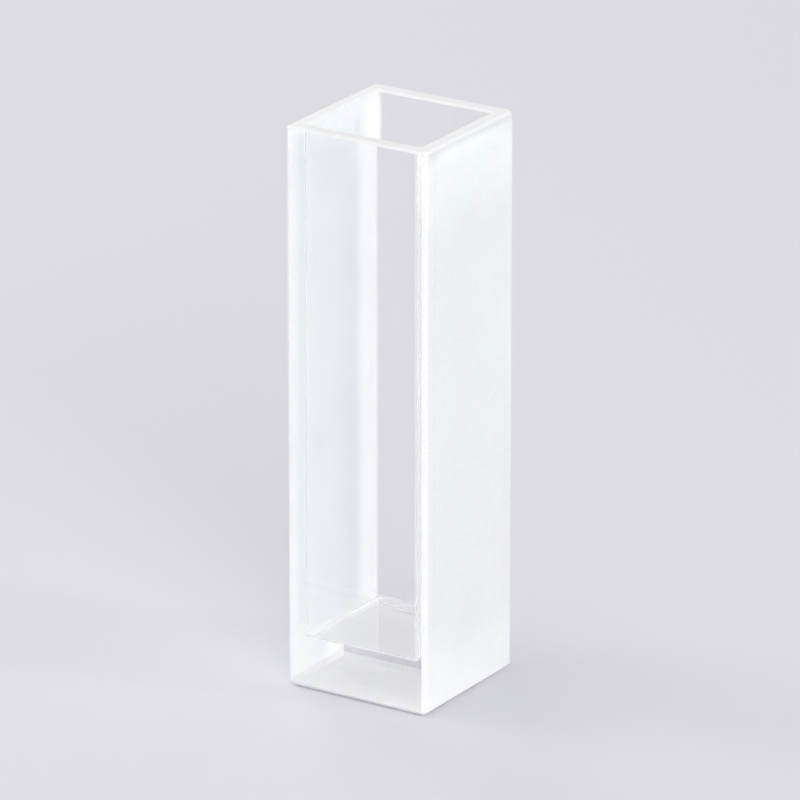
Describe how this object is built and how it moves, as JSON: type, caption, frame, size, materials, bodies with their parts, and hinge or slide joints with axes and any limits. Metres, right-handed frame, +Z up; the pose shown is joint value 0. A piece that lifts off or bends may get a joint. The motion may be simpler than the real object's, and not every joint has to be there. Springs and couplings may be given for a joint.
{
  "type": "cuvette",
  "caption": "Square open-topped glass cell for light measurement, with polished windows, ground sides, a thick base and a round-cornered well.",
  "frame": {"origin": "middle of the foot, on the surface that the cell stands on", "axes": "+Z up from the foot to the open mouth; +Y along the light path, square to the two polished windows; +X square to the two ground sides"},
  "size_m": [0.0126, 0.0126, 0.045],
  "materials": {
    "glass": "fused clear glass, polished on the two windows and inside the well, fine-ground on the two sides, the rim, the bevels and the foot"
  },
  "bodies": {
    "root": {"cuvette": "glass"}
  },
  "joints": []
}
